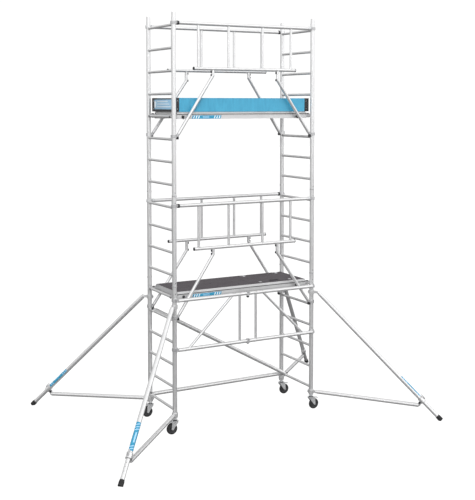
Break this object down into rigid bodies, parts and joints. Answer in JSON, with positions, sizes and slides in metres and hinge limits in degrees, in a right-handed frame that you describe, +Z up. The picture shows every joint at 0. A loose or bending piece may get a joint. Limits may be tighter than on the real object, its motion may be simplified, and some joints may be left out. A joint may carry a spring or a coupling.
{
  "type": "mobile tower scaffold",
  "caption": "Mobile aluminium access tower with ladder end frames, hatch platforms, guardrails, toe boards, folding base gate, braked castors and outrigger stabilisers.",
  "frame": {"origin": "on the ground at the centre of the plan, midway between the posts", "axes": "+X along the platforms to the right, -Y towards the front with the folding gate, +Z up"},
  "size_m": [4.0228, 2.9028, 4.655],
  "materials": {
    "aluminium_tube": "extruded, satin, with fine draw lines",
    "platform_aluminium": "extruded, satin",
    "cast_fittings": "cast, matt",
    "zinc_steel": "zinc plated",
    "deck_plywood": "phenolic film with a slip-resistant wire print",
    "toe_board_blue": "blue coated board, satin",
    "black_plastic": "moulded, matt",
    "wheel_hub_plastic": "moulded, dark grey",
    "castor_rubber": "solid rubber tread",
    "foot_rubber": "moulded rubber, matt"
  },
  "bodies": {
    "tower": {"base_frame_left": "aluminium_tube", "base_frame_right": "aluminium_tube", "middle_frame_left": "aluminium_tube", "middle_frame_right": "aluminium_tube", "top_frame_left": "aluminium_tube", "top_frame_right": "aluminium_tube", "frame_spigots": "cast_fittings", "frame_lock_clips": "cast_fittings", "fold_gate_left": "aluminium_tube", "fold_gate_right": "aluminium_tube", "fold_gate_hinges": "cast_fittings", "lower_platform_frame": "platform_aluminium", "upper_platform_frame": "platform_aluminium", "deck_boards": "deck_plywood", "platform_hooks": "cast_fittings", "lower_front_guardrail": "aluminium_tube", "lower_rear_guardrail": "aluminium_tube", "upper_front_guardrail": "aluminium_tube", "upper_rear_guardrail": "aluminium_tube", "guardrail_fittings": "cast_fittings", "toe_boards_long": "toe_board_blue", "toe_board_ends": "black_plastic", "toe_board_corners": "black_plastic", "horizontal_brace": "aluminium_tube", "diagonal_brace": "aluminium_tube", "castor_stems": "zinc_steel"},
    "lower_hatch": {"lower_trapdoor": "deck_plywood"},
    "upper_hatch": {"upper_trapdoor": "deck_plywood"},
    "castor_fl": {"castor_fork_fl": "zinc_steel"},
    "castor_wheel_fl": {"castor_hub_fl": "wheel_hub_plastic", "castor_tyre_fl": "castor_rubber"},
    "castor_brake_fl": {"castor_pedal_fl": "zinc_steel"},
    "castor_fr": {"castor_fork_fr": "zinc_steel"},
    "castor_wheel_fr": {"castor_hub_fr": "wheel_hub_plastic", "castor_tyre_fr": "castor_rubber"},
    "castor_brake_fr": {"castor_pedal_fr": "zinc_steel"},
    "castor_rl": {"castor_fork_rl": "zinc_steel"},
    "castor_wheel_rl": {"castor_hub_rl": "wheel_hub_plastic", "castor_tyre_rl": "castor_rubber"},
    "castor_brake_rl": {"castor_pedal_rl": "zinc_steel"},
    "castor_rr": {"castor_fork_rr": "zinc_steel"},
    "castor_wheel_rr": {"castor_hub_rr": "wheel_hub_plastic", "castor_tyre_rr": "castor_rubber"},
    "castor_brake_rr": {"castor_pedal_rr": "zinc_steel"},
    "stabiliser_fl": {"stabiliser_leg_fl": "aluminium_tube", "stabiliser_arm_fl": "aluminium_tube"},
    "stabiliser_foot_fl": {"stabiliser_tube_fl": "aluminium_tube", "stabiliser_foot_fl": "foot_rubber"},
    "stabiliser_fr": {"stabiliser_leg_fr": "aluminium_tube", "stabiliser_arm_fr": "aluminium_tube"},
    "stabiliser_foot_fr": {"stabiliser_tube_fr": "aluminium_tube", "stabiliser_foot_fr": "foot_rubber"},
    "stabiliser_rl": {"stabiliser_leg_rl": "aluminium_tube", "stabiliser_arm_rl": "aluminium_tube"},
    "stabiliser_foot_rl": {"stabiliser_tube_rl": "aluminium_tube", "stabiliser_foot_rl": "foot_rubber"},
    "stabiliser_rr": {"stabiliser_leg_rr": "aluminium_tube", "stabiliser_arm_rr": "aluminium_tube"},
    "stabiliser_foot_rr": {"stabiliser_tube_rr": "aluminium_tube", "stabiliser_foot_rr": "foot_rubber"}
  },
  "joints": [
    {"name": "lower_hatch_open", "type": "hinge", "parent": "tower", "child": "lower_hatch", "pos_m": [0.48, 0.23, 1.5765], "axis": [-1, 0, 0], "range_deg": [0, 95]},
    {"name": "upper_hatch_open", "type": "hinge", "parent": "tower", "child": "upper_hatch", "pos_m": [0.48, 0.23, 3.5765], "axis": [-1, 0, 0], "range_deg": [0, 95]},
    {"name": "castor_swivel_fl", "type": "hinge", "parent": "tower", "child": "castor_fl", "pos_m": [-0.9, -0.34, 0.14], "axis": [0, 0, 1], "continuous": true},
    {"name": "castor_roll_fl", "type": "hinge", "parent": "castor_fl", "child": "castor_wheel_fl", "pos_m": [-0.938, -0.34, 0.0625], "axis": [0, 1, 0], "continuous": true},
    {"name": "castor_brake_fl", "type": "hinge", "parent": "castor_fl", "child": "castor_brake_fl", "pos_m": [-0.93, -0.34, 0.137], "axis": [0, -1, 0], "range_deg": [0, 12]},
    {"name": "castor_swivel_fr", "type": "hinge", "parent": "tower", "child": "castor_fr", "pos_m": [0.9, -0.34, 0.14], "axis": [0, 0, 1], "continuous": true},
    {"name": "castor_roll_fr", "type": "hinge", "parent": "castor_fr", "child": "castor_wheel_fr", "pos_m": [0.938, -0.34, 0.0625], "axis": [0, 1, 0], "continuous": true},
    {"name": "castor_brake_fr", "type": "hinge", "parent": "castor_fr", "child": "castor_brake_fr", "pos_m": [0.93, -0.34, 0.137], "axis": [0, 1, 0], "range_deg": [0, 12]},
    {"name": "castor_swivel_rl", "type": "hinge", "parent": "tower", "child": "castor_rl", "pos_m": [-0.9, 0.34, 0.14], "axis": [0, 0, 1], "continuous": true},
    {"name": "castor_roll_rl", "type": "hinge", "parent": "castor_rl", "child": "castor_wheel_rl", "pos_m": [-0.938, 0.34, 0.0625], "axis": [0, 1, 0], "continuous": true},
    {"name": "castor_brake_rl", "type": "hinge", "parent": "castor_rl", "child": "castor_brake_rl", "pos_m": [-0.93, 0.34, 0.137], "axis": [0, -1, 0], "range_deg": [0, 12]},
    {"name": "castor_swivel_rr", "type": "hinge", "parent": "tower", "child": "castor_rr", "pos_m": [0.9, 0.34, 0.14], "axis": [0, 0, 1], "continuous": true},
    {"name": "castor_roll_rr", "type": "hinge", "parent": "castor_rr", "child": "castor_wheel_rr", "pos_m": [0.938, 0.34, 0.0625], "axis": [0, 1, 0], "continuous": true},
    {"name": "castor_brake_rr", "type": "hinge", "parent": "castor_rr", "child": "castor_brake_rr", "pos_m": [0.93, 0.34, 0.137], "axis": [0, 1, 0], "range_deg": [0, 12]},
    {"name": "stabiliser_swing_fl", "type": "hinge", "parent": "tower", "child": "stabiliser_fl", "pos_m": [-0.9, -0.34, 0.8], "axis": [0, 0, 1], "range_deg": [-40, 40]},
    {"name": "stabiliser_extend_fl", "type": "slide", "parent": "stabiliser_fl", "child": "stabiliser_foot_fl", "axis": [-0.5067, -0.5067, -0.6975], "range_m": [-0.18, 0]},
    {"name": "stabiliser_swing_fr", "type": "hinge", "parent": "tower", "child": "stabiliser_fr", "pos_m": [0.9, -0.34, 0.8], "axis": [0, 0, 1], "range_deg": [-40, 40]},
    {"name": "stabiliser_extend_fr", "type": "slide", "parent": "stabiliser_fr", "child": "stabiliser_foot_fr", "axis": [0.5067, -0.5067, -0.6975], "range_m": [-0.18, 0]},
    {"name": "stabiliser_swing_rl", "type": "hinge", "parent": "tower", "child": "stabiliser_rl", "pos_m": [-0.9, 0.34, 0.8], "axis": [0, 0, 1], "range_deg": [-40, 40]},
    {"name": "stabiliser_extend_rl", "type": "slide", "parent": "stabiliser_rl", "child": "stabiliser_foot_rl", "axis": [-0.5067, 0.5067, -0.6975], "range_m": [-0.18, 0]},
    {"name": "stabiliser_swing_rr", "type": "hinge", "parent": "tower", "child": "stabiliser_rr", "pos_m": [0.9, 0.34, 0.8], "axis": [0, 0, 1], "range_deg": [-40, 40]},
    {"name": "stabiliser_extend_rr", "type": "slide", "parent": "stabiliser_rr", "child": "stabiliser_foot_rr", "axis": [0.5067, 0.5067, -0.6975], "range_m": [-0.18, 0]}
  ]
}
